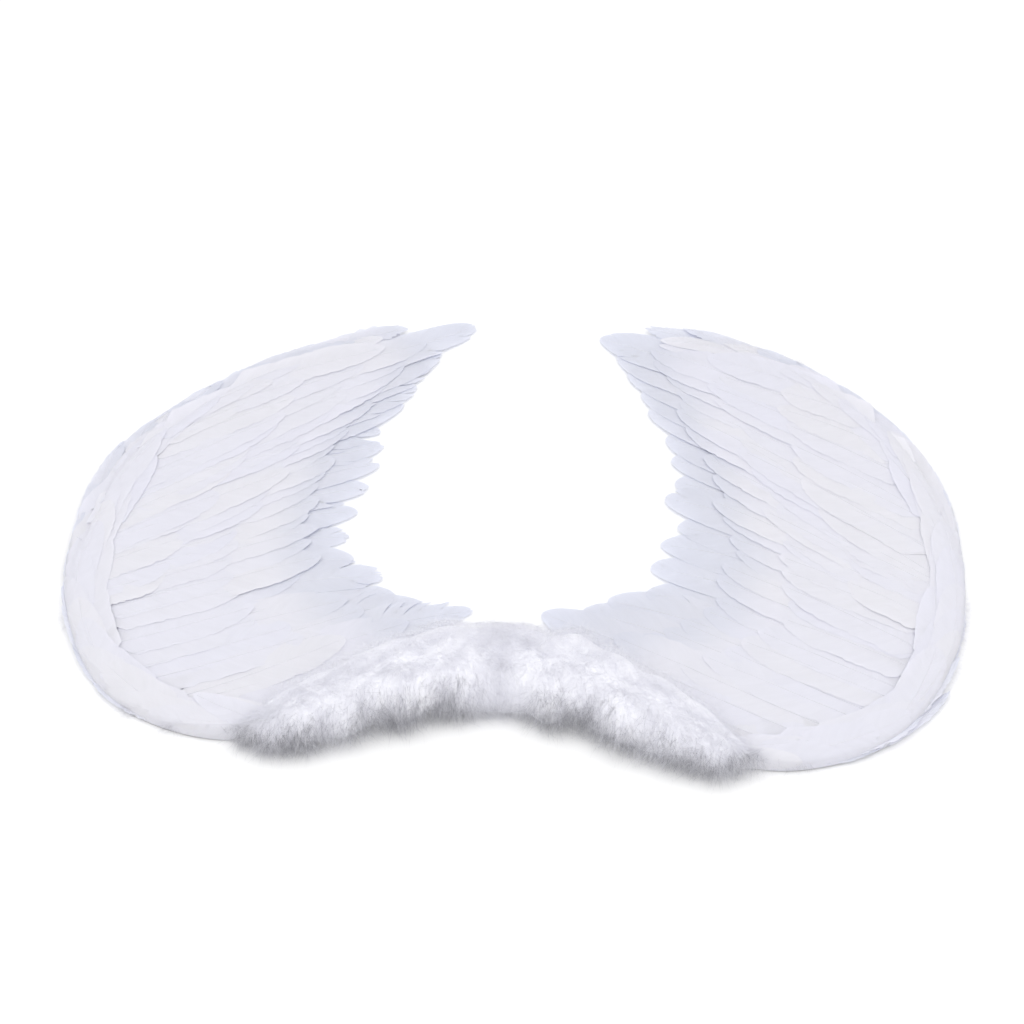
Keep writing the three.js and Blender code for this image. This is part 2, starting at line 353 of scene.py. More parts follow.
def shaft(kind, length):
    """The shaft of a feather laid flat, a four-sided taper in the middle of its vane."""
    along = np.linspace(0, SHAFT_END, SHAFT_RINGS) * length
    radius = np.interp(along / length, (0, 1), (kind.quill, SHAFT_TIP))
    corners = np.array([(1, 0), (0, 1), (-1, 0), (0, -1)], float)
    points = np.empty((SHAFT_RINGS, 4, 3))
    points[:, :, 0] = along[:, None]
    points[:, :, 1:] = radius[:, None, None] * (corners + (0, SHAFT_LIFT))
    ends = np.array([[3, 2, 1, 0], np.arange(4) + 4 * (SHAFT_RINGS - 1)])
    return points.reshape(-1, 3), np.concatenate([ring_quads(SHAFT_RINGS, 4), ends])


def bend(flat, spine, roll):
    """Lays flat points (along, across, up) along a spine, rolled about it."""
    along, across, up = flat.T
    forward = spine.tangent(along)
    left = unit(np.cross(UP, forward))
    over = np.cross(forward, left)
    sine, cosine = math.sin(roll), math.cos(roll)
    left, over = left * cosine + over * sine, over * cosine - left * sine
    return spine.at(along) + left * across[:, None] + over * up[:, None]


def feather(skin, kind, spine, near, roll, rng, move=None):
    """Adds a feather to a skin. near is the side, 1 left or -1 right, whose edge the roll lifts.

    move is a function that shifts the points of the feather once it lies along its spine.
    """
    tint, seed = rng.random(), rng.random()

    def laid(flat):
        bent = bend(flat, spine, near * roll)
        return move(bent) if move else bent

    for side in (1, -1):
        share = kind.near_share if side == near else 1 - kind.near_share
        flat, faces, barbs = vane(kind, spine.length, kind.width * share, side, rng)
        # Painted shade: the tip fades towards the bluish grey of a thin vane in shade.
        thin = kind.thin * smoothstep(kind.fade, 1.0, flat[:, 0] / spine.length)
        skin.add(laid(flat), faces, barbs, (tint, 0, seed), thin)
    flat, faces = shaft(kind, spine.length)
    skin.add(laid(flat), faces, flat[:, :2] * MILLIMETRES, (tint, 1, seed))


def make_spine(root, tip, bow, heights):
    """A spine over the plan line from root to tip, bowed to its left, with heights along it."""
    share = np.linspace(0, 1, SPINE_POINTS)
    run = np.array([tip[0] - root[0], tip[1] - root[1], 0.0])
    points = np.array([root[0], root[1], 0.0]) + share[:, None] * run
    points += bow * (4 * share * (1 - share))[:, None] * np.cross(UP, run)
    points[:, 2] = eased(share, heights)
    return Line(points)


# How a wing is read: the slices taken for a feather's end and for the ridge, the middle that the ridge goes
# round, how far it is drawn out at its near end, and the room that coverts leave or need.
END_SLICE = 0.001
RIDGE_SLICE = 1e-4
WING_MIDDLE = 0.15
RIDGE_LEAD = 0.050
RIDGE_AIM = 4  # the point that it is drawn out in line with
RIDGE_SAMPLES = 300
COVERT_MARGIN = 0.012
COVERT_SHORTEST = 0.05
ROOM_STEPS = np.arange(0.02, 0.26, 0.002)


class Wing:
    """Where one wing's rows lie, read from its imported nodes."""

    def __init__(self, side):
        self.side = side
        self.near = 1 if side == "right" else -1
        self.flights = sorted(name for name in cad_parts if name.startswith(f"{side}_flight"))
        self.roots, self.tips = np.array([feather_ends(name) for name in self.flights]).transpose(1, 0, 2)
        ridge = rim_ridge(side)
        lead = ridge[0] + unit(ridge[0] - ridge[RIDGE_AIM]) * RIDGE_LEAD
        self.ridge = Line(np.concatenate([[lead], ridge]))
        self.reach = np.linspace(0, self.ridge.length, RIDGE_SAMPLES)
        self.rim = self.ridge.at(self.reach)
        self.inward = np.cross(UP, self.ridge.tangent(self.reach)) * self.near

    def inside(self, points):
        """How far points lie inside the ridge, and the ridge sample that each is nearest to."""
        apart = ((points[:, None, :2] - self.rim[None, :, :2]) ** 2).sum(axis=-1)
        nearest = apart.argmin(axis=1)
        depth = ((points - self.rim[nearest]) * self.inward[nearest])[:, :2].sum(axis=1)
        return depth, nearest

    def room(self, point, way):
        """How far a point may go a level way before it comes to COVERT_MARGIN from the ridge."""
        depth, _ = self.inside(point + ROOM_STEPS[:, None] * way)
        return ROOM_STEPS[np.argmax(depth < COVERT_MARGIN)]

    def line(self, place):
        """Root and tip of a flight feather, at a place between two of them or past the last."""
        first = int(np.clip(place, 0, len(self.flights) - 2))
        step = place - first
        return [rows[first] + step * (rows[first + 1] - rows[first]) for rows in (self.roots, self.tips)]


def along_ridge(wing, distance, turn):
    """The ridge at a distance along it, the way in from there, and the way ahead turned in by an angle."""
    tangent = wing.ridge.tangent(distance)
    inward = np.cross(UP, tangent) * wing.near
    return wing.ridge.at(distance), inward, tangent * math.cos(turn) + inward * math.sin(turn)


def feather_ends(node):
    """Root and tip of a packed feather. The tip lies nearer to the middle of the wings."""
    points = node_points(node)
    plan = points[:, :2] - points[:, :2].mean(axis=0)
    reach = plan @ np.linalg.svd(plan, full_matrices=False)[2][0]
    ends = [points[reach < reach.min() + END_SLICE], points[reach > reach.max() - END_SLICE]]
    return sorted((end.mean(axis=0) for end in ends), key=lambda end: -abs(end[0]))


def rim_ridge(side):
    """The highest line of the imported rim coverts, from the near edge round to the wing tip."""
    points = node_points(f"{side}_rim_coverts")
    ridge = np.unique(points[points[:, 2] > points[:, 2].max() - RIDGE_SLICE].round(5), axis=0)
    turn = np.arctan2(ridge[:, 1], np.abs(ridge[:, 0]) - WING_MIDDLE)
    return ridge[np.argsort(turn)]


# Each feather's own shape, as shares of its kind's width and steps from its kind's other values.
WIDTH_SHARES = (0.9, 1.1)
SHOULDER_STEPS = (-0.08, 0.06)
POINT_STEPS = (-0.08, 0.14)
NEAR_SHARE_STEPS = (-0.04, 0.04)
BOW_STEPS = (-0.015, 0.015)

# Flight feathers. Widths and bows go by the feather's number, and some tips are set back from their node's.
FLIGHT_ROLL = math.radians(1.2)
FLIGHT_WIDTHS = [(0, 0.032), (4, 0.037), (8, 0.041), (13, 0.042), (16, 0.040)]
FLIGHT_SETBACKS = {
    "right": (0.0, 0.0, 0.002, 0.004, 0.010),
    "left": (0.0, 0.002, 0.005, 0.010, 0.016),
}
FLIGHT_BOWS = {
    "right": [(0, 0.0), (2, -0.07), (6, -0.09), (12, -0.08), (16, -0.04)],
    "left": [(0, -0.02), (2, -0.09), (6, -0.10), (10, -0.07), (16, 0.0)],
}
FLIGHT_TIP_LEVEL = 0.0014
FLIGHT_TIP_RISES = (0, 0.0010)
LAST_SHIFT = {"right": (0.0, 0.0, 0.0), "left": (0.004, 0.008, 0.0)}
FLIGHT_SPLITS = {"right": 0.8, "left": 5.0}
FLIGHT_OPENINGS = {"right": 0.004, "left": 0.007}
FLIGHT_SLIMNESS = {"right": 1.0, "left": 0.86}


def varied(kind, rng, **changes):
    """A feather's own shape, a little off its kind."""
    changes.setdefault("width", kind.width)
    changes["width"] *= rng.uniform(*WIDTH_SHARES)
    changes["shoulder"] = kind.shoulder + rng.uniform(*SHOULDER_STEPS)
    changes["point"] = kind.point + rng.uniform(*POINT_STEPS)
    changes["near_share"] = kind.near_share + rng.uniform(*NEAR_SHARE_STEPS)
    return replace(kind, **changes)


def flight_feathers(wing, material):
    """Each flight feather as a piece of its own, where its node is."""
    for number, node in enumerate(wing.flights):
        rng = rng_for(node)
        root, tip = wing.line(number)
        low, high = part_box(node)
        level = (low.z + high.z) / 2
        heights = [(0, level), (0.5, level), (1, FLIGHT_TIP_LEVEL + rng.uniform(*FLIGHT_TIP_RISES))]
        if node == wing.flights[-1]:
            root, tip = root + LAST_SHIFT[wing.side], tip + LAST_SHIFT[wing.side]
        else:
            tip = tip - unit(tip - root) * rng.choice(FLIGHT_SETBACKS[wing.side])
        bow = read(FLIGHT_BOWS[wing.side], number) + rng.uniform(*BOW_STEPS)
        spine = make_spine(root, tip, wing.near * bow, heights)
        width = read(FLIGHT_WIDTHS, number) * FLIGHT_SLIMNESS[wing.side]
        splits, opening = FLIGHT_SPLITS[wing.side], FLIGHT_OPENINGS[wing.side]
        kind = varied(FLIGHT, rng, width=width, splits=splits, opening=opening)
        skin = Skin()
        feather(skin, kind, spine, wing.near, FLIGHT_ROLL, rng)
        skin.piece(f"{node}_vane", material, [node])


@dataclass(frozen=True)
class CovertRow:
    """A row of coverts over the flight feathers, whose places are counted from the first at 0."""

    node: str
    count: int
    first: float
    last: float
    inset: float  # of the tips, behind the flight tips
    length: float  # or None where the roots lie under the rim feathers
    heights: tuple  # along a feather: share and height
    thin: float  # how far the tips fade to a bluish grey of painted shade, for a thin vane


COVERT_ROWS = [
    CovertRow("middle_coverts", 25, 0.0, 16.5, 0.045, 0.125, ((0, 0.0074), (0.5, 0.0064), (1, 0.0040)), 0.8),
    CovertRow("upper_coverts", 25, 0.0, 16.8, 0.094, None, ((0, 0.0094), (0.5, 0.0084), (1, 0.0066)), 0.1),
    CovertRow("upper_coverts", 18, 5.0, 17.2, 0.150, None, ((0, 0.0106), (0.5, 0.0098), (1, 0.0084)), 0.0),
]
COVERT_ROLLS = [(0, 2.4), (5, 2.0), (8, 0.6), (17, 0.2)]
COVERT_BOWS = [(0, 0.02), (5, 0.0), (8, -0.02), (16, -0.02)]
COVERT_PLACE_STEPS = (-0.12, 0.12)
COVERT_TIP_STEPS = (-0.010, 0.010)
COVERT_LENGTHS = (0.95, 1.05)
COVERT_LIFTS = (0, 0.0002)
COVERT_SWING = 0.03


def lay_covert(skin, wing, row, place, rng, swing):
    """Adds one covert of a row to a skin."""
    root, tip = wing.line(place)
    run = unit((tip - root) * (1, 1, 0))
    end = tip - run * (row.inset + rng.uniform(*COVERT_TIP_STEPS))
    run = run * math.cos(swing) + np.cross(UP, run) * math.sin(swing)
    length = min(row.length or 1, wing.room(end, -run))
    if length < COVERT_SHORTEST:
        return
    start = end - run * length * rng.uniform(*COVERT_LENGTHS)
    heights = np.array(row.heights) + (0, rng.uniform(*COVERT_LIFTS))
    bow = read(COVERT_BOWS, place) + rng.uniform(*BOW_STEPS)
    spine = make_spine(start, end, wing.near * bow, heights)
    roll = math.radians(read(COVERT_ROLLS, place))
    feather(skin, varied(COVERT, rng, thin=row.thin), spine, wing.near, roll, rng)


def coverts(wing, material):
    """The rows of coverts, as one joined piece for each node."""
    for node in dict.fromkeys(row.node for row in COVERT_ROWS):
        name = f"{wing.side}_{node}"
        rng = rng_for(name)
        skin = Skin()
        for row in COVERT_ROWS:
            if row.node == node:
                for place in np.linspace(row.first, row.last, row.count):
                    place += rng.uniform(*COVERT_PLACE_STEPS)
                    lay_covert(skin, wing, row, place, rng, rng.normal(0, COVERT_SWING))
        skin.piece(f"{name}_feathers", material, [name])


# Layers of rim feathers: how many, the shares of the ridge that they stand between, their length, how far in
# their roots lie, and how far the layer lies above the rows that it covers.
RIM_ROWS = [
    (21, 0.00, 0.98, 0.076, 0.008, 0.0),
    (23, 0.03, 1.00, 0.064, 0.002, 0.0006),
]
# Along the ridge by shares of its length: where a wing's rows end, how far they are drawn in, how wide their
# feathers are, how far these turn in, and how high they lie. Across it, the rim's height by the depth inside.
RIM_ENDS = {"right": 0.90, "left": 0.855}
RIM_DRAWN_IN = {
    "right": [(0, 0), (0.45, 0), (0.6, 0.009), (1, 0.007)],
    "left": [(0, 0), (0.38, 0), (0.5, 0.013), (0.85, 0.013), (1, 0.009)],
}
RIM_TAPER = [(0, 0.6), (0.08, 1), (0.4, 1), (0.6, 0.75), (1, 0.5)]
RIM_TURNS = [(0, 6), (0.1, 13), (0.45, 13), (0.7, 8), (1, 5)]
RIM_ROLL = math.radians(0.8)
RIM_PLACE_STEPS = (-0.006, 0.006)
RIM_TURN_SPREAD = 0.10
RIM_LENGTHS = (0.9, 1.12)
RIM_HEIGHTS = [(0, -0.0003), (1, 0.0004)]
RIM_BOW = -0.04
RIM_EDGE = -0.0025  # depth past which feathers wrap down
RIM_PROFILE = [
    (-0.012, 0.0066), (RIM_EDGE, 0.0082), (0.0, 0.0104), (0.005, 0.0116), (0.012, 0.0118), (0.030, 0.0107),
    (0.045, 0.0099), (0.065, 0.0092),
]
RIM_SINK = [(0, 1), (0.6, 1), (0.8, 0.78), (0.93, 0.45), (1, 0.38)]
WRAP_BULGE = 0.25
WRAP_FADE = 0.004


def drape(wing, rise, points):
    """Lays points over the rim: up its inner slope, and wrapped down round its edge."""
    inside, nearest = wing.inside(points)
    inward = wing.inward[nearest]
    over = np.maximum(RIM_EDGE - inside, 0)
    laid = points + inward * over[:, None]
    laid -= inward * (WRAP_BULGE * over * np.exp(-over / WRAP_FADE) + rise * (over > 0))[:, None]
    share = wing.reach[nearest] / wing.ridge.length
    sink = read(RIM_SINK, share)
    depth = np.maximum(inside, RIM_EDGE) - read(RIM_DRAWN_IN[wing.side], share)
    laid[:, 2] += (read(RIM_PROFILE, depth) - over) * sink + rise
    laid[:, 2] = np.maximum(laid[:, 2], FLOOR_CLEARANCE)
    return laid


def rim_coverts(wing, material):
    """The short feathers that lie along the rim and wrap its edge, in two layers."""
    node = f"{wing.side}_rim_coverts"
    rng = rng_for(node)
    skin = Skin()
    for count, first, last, length, inset, rise in RIM_ROWS:
        for share in np.linspace(first, last, count) * RIM_ENDS[wing.side]:
            distance = (share + rng.uniform(*RIM_PLACE_STEPS)) * wing.ridge.length
            turn = math.radians(read(RIM_TURNS, share)) + rng.normal(0, RIM_TURN_SPREAD)
            place, inward, heading = along_ridge(wing, distance, turn)
            root = place + inward * (inset + read(RIM_DRAWN_IN[wing.side], share))
            tip = root + heading * length * rng.uniform(*RIM_LENGTHS)
            spine = make_spine(root, tip, wing.near * RIM_BOW, RIM_HEIGHTS)
            kind = varied(RIM, rng, width=RIM.width * read(RIM_TAPER, share))
            feather(skin, kind, spine, wing.near, RIM_ROLL, rng, partial(drape, wing, rise))
    skin.piece(f"{node}_feathers", material, [node])


# Long thin feathers under the rim feathers, whose outer edges show past the rim: how many, the shares of the
# ridge that their roots stand between, how far in the roots lie, their level and how far they may stick out.
EDGE_ROWS = {
    "right": [(11, 0.10, 0.80, 0.0085, 0.0034, 0.0040), (15, 0.16, 0.90, 0.0080, 0.0064, 0.0030)],
    "left": [(10, 0.12, 0.80, 0.0080, 0.0034, 0.0045), (15, 0.20, 0.895, 0.0080, 0.0064, 0.0035)],
}
EDGE_LENGTH = 0.075
EDGE_LENGTHS = (0.85, 1.15)
EDGE_PLACE_STEPS = (-0.012, 0.012)
EDGE_TURNS = (0.02, 0.16)
EDGE_ROOT_SPREAD = 0.0015
EDGE_ROOT_DROP = 0.0006
EDGE_TIP_RISES = (0, 0.001)
EDGE_GIVE = 0.35


def held_in(wing, reach, points):
    """Points that stick out past the ridge by more than a reach, moved in by most of what is over."""
    inside, nearest = wing.inside(points)
    over = np.maximum(-reach - inside, 0)
    return points + wing.inward[nearest] * (1 - EDGE_GIVE) * over[:, None]


def edge_feathers(wing, material):
    """The feathers of one wing that stick out a little past its rim."""
    name = f"{wing.side}_edge_feathers"
    rng = rng_for(name)
    skin = Skin()
    for count, first, last, inset, level, reach in EDGE_ROWS[wing.side]:
        for share in np.linspace(first, last, count):
            distance = (share + rng.uniform(*EDGE_PLACE_STEPS)) * wing.ridge.length
            place, inward, heading = along_ridge(wing, distance, rng.uniform(*EDGE_TURNS))
            root = place + inward * (inset + rng.normal(0, EDGE_ROOT_SPREAD))
            tip = root + heading * EDGE_LENGTH * rng.uniform(*EDGE_LENGTHS)
            sunk = level * read(RIM_SINK, share)
            heights = [(0, sunk - EDGE_ROOT_DROP), (1, sunk + rng.uniform(*EDGE_TIP_RISES))]
            spine = make_spine(root, tip, wing.near * RIM_BOW, heights)
            feather(skin, varied(EDGE, rng), spine, wing.near, 0.0, rng, partial(held_in, wing, reach))
    skin.piece(name, material)


# Loose down that sticks out from under the rim: the shares of the ridge that it stands between, how many
# barbs, their length, and how far they take the painted shade grey of down in shade.
WISPS = {
    "right": [(0.29, 0.43, 240, 0.010, 0.1), (0.840, 0.852, 50, 0.010, 0.2), (0.00, 0.13, 200, 0.007, 0.6)],
    "left": [
        (0.194, 0.202, 40, 0.011, 0.3), (0.140, 0.152, 60, 0.010, 0.5), (0.00, 0.08, 520, 0.0135, 0.6),
        (0.330, 0.352, 80, 0.009, 0.2), (0.50, 0.66, 160, 0.007, 0.0), (0.74, 0.79, 60, 0.007, 0.0),
    ],
}
WISP_INSET = 0.001
WISP_HEIGHTS = (0.002, 0.007)
WISP_ALONG = (0.2, 0.55)  # mean and spread of how far they lean along the rim
WISP_RISE = (0.1, 0.25)  # and up
WISP_CURL = 0.25
WISP_FALL = 0.25
WISP_LENGTHS = (0.5, 1.4)


def wisps(wing, material):
    """Loose barbs of down round the rim of one wing."""
    rng = rng_for(f"{wing.side} wisps")
    skin = Skin()
    for first, last, count, size, painted_shade in WISPS[wing.side]:
        distance = rng.uniform(first, last, count) * wing.ridge.length
        tangent = wing.ridge.tangent(distance)
        inward = np.cross(UP, tangent) * wing.near
        base = wing.ridge.at(distance) - WISP_INSET * inward
        base[:, 2] = rng.uniform(*WISP_HEIGHTS, count)
        along = tangent * rng.normal(*WISP_ALONG, (count, 1))
        way = unit(-inward + along + UP * rng.normal(*WISP_RISE, (count, 1)))
        pull = rng.normal(0, WISP_CURL, (count, 3)) - WISP_FALL * UP
        length = size * rng.uniform(*WISP_LENGTHS, (count, 1))
        curves = hair_curves(base, way, pull, length)
        curves[..., 2] = np.maximum(curves[..., 2], FLOOR_CLEARANCE)
        # Painted shade: each row's grey darkens the wisps that stand in shade under the rim.
        strands(skin, curves, painted_shade, 0)
    skin.piece(f"{wing.side}_wisps", material)


OFF_AXIS = (0.13, 0.29, 0.41)  # keeps a hair's side clear of its own direction
HAIR_APART = 0.37


def hair_curves(base, way, pull, length):
    """Points along hairs that start out one way and are pulled another."""
    steps = DOWN_STEPS[:, None]
    bent = way[..., None, :] * steps + pull[..., None, :] * steps**2
    return base[..., None, :] + length[..., None] * bent


def strands(skin, curves, painted_shade, white):
    """Adds three-sided tapered hairs to a skin, one for each curve of points."""
    number, points, _ = curves.shape
    ahead = unit(np.gradient(curves, axis=1))
    side = unit(np.cross(ahead, np.roll(ahead, 1, axis=-1) + OFF_AXIS))
    over = np.cross(ahead, side)
    turns = np.arange(3) * 2 * np.pi / 3
    taper = DOWN_RADIUS * np.linspace(1, DOWN_TAPER, points)[None, :, None, None]
    rings = curves[:, :, None] + taper * (
        np.cos(turns)[:, None] * side[:, :, None] + np.sin(turns)[:, None] * over[:, :, None]
    )
    body = rings[:, :-1].reshape(number, -1, 3)
    each = np.concatenate([body, curves[:, -1:]], axis=1)
    faces = strand_faces(points)
    size = each.shape[1]
    shift = (np.arange(number) * size)[:, None, None]
    every = np.where(faces < 0, -1, faces[None] + shift).reshape(-1, 4)
    reach = np.broadcast_to(np.arange(size) / size, (number, size)).ravel()
    barbs = np.column_stack([reach, np.repeat(np.arange(number) * HAIR_APART, size)])
    skin.add(each.reshape(-1, 3), every, barbs, (painted_shade, white, DOWN_SEED))


def strand_faces(points):
    """Faces of one hair: quads round its rings, a fan at its tip and a cap at its root."""
    last, tip = (points - 2) * 3, (points - 1) * 3
    fan = [(last + corner, last + (corner + 1) % 3, tip, -1) for corner in range(3)]
    return np.concatenate([ring_quads(points - 1, 3), fan, [(2, 1, 0, -1)]])


@dataclass(frozen=True)
class TuftRow:
    """Tufts of down on one side of the trim. Angles are in degrees, from the back over to the front."""

    count: int
    start: float  # shares of the trim's length that they stand between
    until: float
    first: float  # angles that they stand between
    last: float
    lie: int  # -1 to the back, 1 to the front, 0 any way
    lifts: tuple  # least and most, from the surface
    depth: float  # share of the way out to the surface where they start
    barbs: int
    length: float
    painted_shade: float  # how far they take the painted shade grey of down in shade
    white: float  # how far they take a painted light white, brighter where hair would look shaded


TUFTS = [
    TuftRow(150, 0.0, 1.0, 0, 50, -1, (0, 18), 0.92, 18, 0.021, 0.0, 0.7),
    TuftRow(16, 0.0, 0.35, -6, 14, -1, (-4, 16), 0.95, 22, 0.010, 0.25, 0.0),
    TuftRow(270, 0.0, 1.0, 35, 140, 0, (0, 28), 0.94, 20, 0.016, 0.0, 0.5),
    TuftRow(210, 0.0, 1.0, 108, 168, 1, (-2, 24), 0.94, 20, 0.016, 0.0, 0.9),
    TuftRow(130, 0.0, 1.0, 172, 206, 1, (15, 65), 0.90, 24, 0.016, 0.22, 0.6),
    TuftRow(54, 0.16, 0.58, 164, 200, 1, (5, 55), 0.95, 22, 0.019, 0.85, 0.0),
    TuftRow(40, 0.72, 1.0, 162, 200, 1, (5, 55), 0.95, 22, 0.016, 0.85, 0.0),
    TuftRow(120, 0.0, 1.0, 138, 174, 1, (0, 35), 0.95, 16, 0.019, 0.0, 0.9),
]
# How the barbs of a tuft spread, stand and bend. Pulls are shares of a barb's length.
TUFT_SPREAD = math.radians(42)
TUFT_SWING = math.radians(38)
TUFT_SIZE = 0.0060
TUFT_START = -0.005
TUFT_STEP = 0.05
TUFT_PULL_IN = -0.30
TUFT_FALL = -0.15
TUFT_CURL = 0.18
TUFT_LENGTHS = (0.5, 1.25)

# The trim's surface, read on a grid from its node, with soft lumps that fade out to the middle.
TRIM_COLUMNS = 40
TRIM_ROWS = 60
LAST_CELL = 1.001  # keeps a place on the grid inside its last cell
TRIM_TURN = (-12, 222)
TRIM_INSET = 0.0015
TRIM_SLACK = 2e-5
TRIM_MIDDLE = 0.25
TRIM_LEAST = 0.008
TRIM_SUNK = 0.001
TRIM_SEAM = 0.03
TRIM_END = 0.030
TRIM_END_MOST = 0.95
TRIM_LUMPS = 9
LUMP_SPAN = 0.155
LUMP_WAVES_ALONG = (2, 7)
LUMP_WAVES_ROUND = (-3, 3)
LUMP_SIZES = (0.015, 0.035)

# The core under the tufts: how deep it lies by the angle, and the angles between which it turns to painted
# shade grey.
CORE_GRID = (110, 70)
CORE_DEPTHS = [(-12, 0.78), (40, 0.86), (90, 0.93), (222, 0.93)]
CORE_RADIUS = 0.030
CORE_PAINTED_SHADE = (172, 194)


class Trim:
    """The marabou of one side as a surface over (distance from the middle, angle round it)."""

    def __init__(self, side):
        self.node = f"{side}_marabou"
        self.sign = 1 if side == "right" else -1
        rng = rng_for(self.node)
        points = node_points(self.node)
        offsets = np.unique(np.abs(points[:, 0]).round(5))
        rows = [points[np.isclose(np.abs(points[:, 0]), offset, atol=TRIM_SLACK)] for offset in offsets]
        self.offsets = offsets
        self.middle_y = np.array([(row[:, 1].min() + row[:, 1].max()) / 2 for row in rows])
        self.base = np.array([row[row[:, 1].argmax(), 2] for row in rows])
        top = np.array([row[:, 2].max() for row in rows])
        self.middle_z = self.base + TRIM_MIDDLE * (top - self.base)
        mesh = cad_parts[self.node].data
        tree = BVHTree.FromPolygons(points.tolist(), [tuple(face.vertices) for face in mesh.polygons])
        self.across = np.linspace(offsets[0] + TRIM_INSET, offsets[-1] - TRIM_INSET, TRIM_COLUMNS)
        self.angles = np.radians(np.linspace(*TRIM_TURN, TRIM_ROWS))
        self.reach = np.array([
            [self._hit(tree, offset, angle) for angle in self.angles] for offset in self.across
        ])
        self.reach *= 1 + self._lumps(rng)

    def _hit(self, tree, offset, angle):
        """How far the node's surface lies from the trim's middle line, one way round it."""
        ahead = (0.0, math.cos(angle), math.sin(angle))
        distance = tree.ray_cast(Vector(self.centre(offset)), Vector(ahead))[3]
        return TRIM_LEAST if distance is None else distance

    def _lumps(self, rng):
        """Soft bulges and hollows of the down, as shares of its reach."""
        offset, angle = np.meshgrid(self.across / LUMP_SPAN, self.angles / np.pi, indexing="ij")
        lumps = np.zeros_like(offset)
        for _ in range(TRIM_LUMPS):
            wave = rng.uniform(*LUMP_WAVES_ALONG) * offset + rng.uniform(*LUMP_WAVES_ROUND) * angle
            wave = wave + rng.random()
            lumps += rng.uniform(*LUMP_SIZES) * np.sin(2 * np.pi * wave)
        return lumps * smoothstep(0, TRIM_SEAM, self.across)[:, None]

    def centre(self, offset):
        """The trim's middle line at distances from the middle of the wings."""
        y = np.interp(np.abs(offset), self.offsets, self.middle_y)
        z = np.interp(np.abs(offset), self.offsets, self.middle_z)
        return np.stack([self.sign * np.asarray(offset, float), y, z], axis=-1)

    def kept_up(self, points):
        """Points raised to the floor, or behind the trim to the feathers that it lies on."""
        offset = np.abs(points[..., 0])
        behind = points[..., 1] > np.interp(offset, self.offsets, self.middle_y)
        least = np.where(behind, np.interp(offset, self.offsets, self.base) - TRIM_SUNK, FLOOR_CLEARANCE)
        points[..., 2] = np.maximum(points[..., 2], least)
        return points

    def surface(self, offset, angle, depth):
        """Points at a share of the way from the middle of the down to its surface."""
        column = np.interp(np.abs(offset), self.across, np.arange(TRIM_COLUMNS))
        column = np.clip(column, 0, TRIM_COLUMNS - LAST_CELL)
        row = np.clip(np.interp(angle, self.angles, np.arange(TRIM_ROWS)), 0, TRIM_ROWS - LAST_CELL)
        c, r = column.astype(int), row.astype(int)
        u, v = column - c, row - r
        reach = (
            self.reach[c, r] * (1 - u) * (1 - v) + self.reach[c + 1, r] * u * (1 - v)
            + self.reach[c, r + 1] * (1 - u) * v + self.reach[c + 1, r + 1] * u * v
        )
        past = np.clip((np.abs(offset) - self.across[-1] + TRIM_END) / TRIM_END, 0, TRIM_END_MOST)
        reach = reach * np.sqrt(1 - past**2)
        out = np.stack([np.zeros_like(angle), np.cos(angle), np.sin(angle)], axis=-1)
        return self.centre(offset) + out * (reach * depth)[..., None]


def tuft_barbs(trim, row, rng):
    """Curves of all the barbs of one row of tufts."""
    count, each = row.count, row.barbs
    first, last = trim.across[-1] * row.start + TUFT_START, trim.across[-1] * row.until
    stands = np.linspace(first, last, count) + rng.normal(0, last / count, count)
    turns = np.radians(rng.uniform(row.first, row.last, count))
    headings = rng.normal(0, TUFT_SWING, count) + (math.pi if row.lie < 0 else 0)
    if row.lie == 0:
        headings = rng.uniform(-math.pi, math.pi, count)
    offset = stands[:, None] + rng.normal(0, TUFT_SIZE, (count, each))
    angle = turns[:, None] + rng.normal(0, TUFT_SIZE / CORE_RADIUS, (count, each))
    base = trim.surface(offset, angle, row.depth)
    out = unit(base - trim.centre(offset))
    ahead = unit(trim.surface(offset, angle + TUFT_STEP, row.depth) - base)
    aside = np.cross(out, ahead)
    heading = (headings[:, None] + rng.normal(0, TUFT_SPREAD, (count, each)))[..., None]
    lift = np.radians(rng.uniform(*row.lifts, (count, each)))[..., None]
    way = (ahead * np.cos(heading) + aside * np.sin(heading)) * np.cos(lift) + out * np.sin(lift)
    pull = TUFT_PULL_IN * out + TUFT_FALL * UP + rng.normal(0, TUFT_CURL, (count, each, 3))
    length = row.length * rng.uniform(*TUFT_LENGTHS, (count, each, 1))
    return trim.kept_up(hair_curves(base, way, pull, length).reshape(-1, len(DOWN_STEPS), 3))


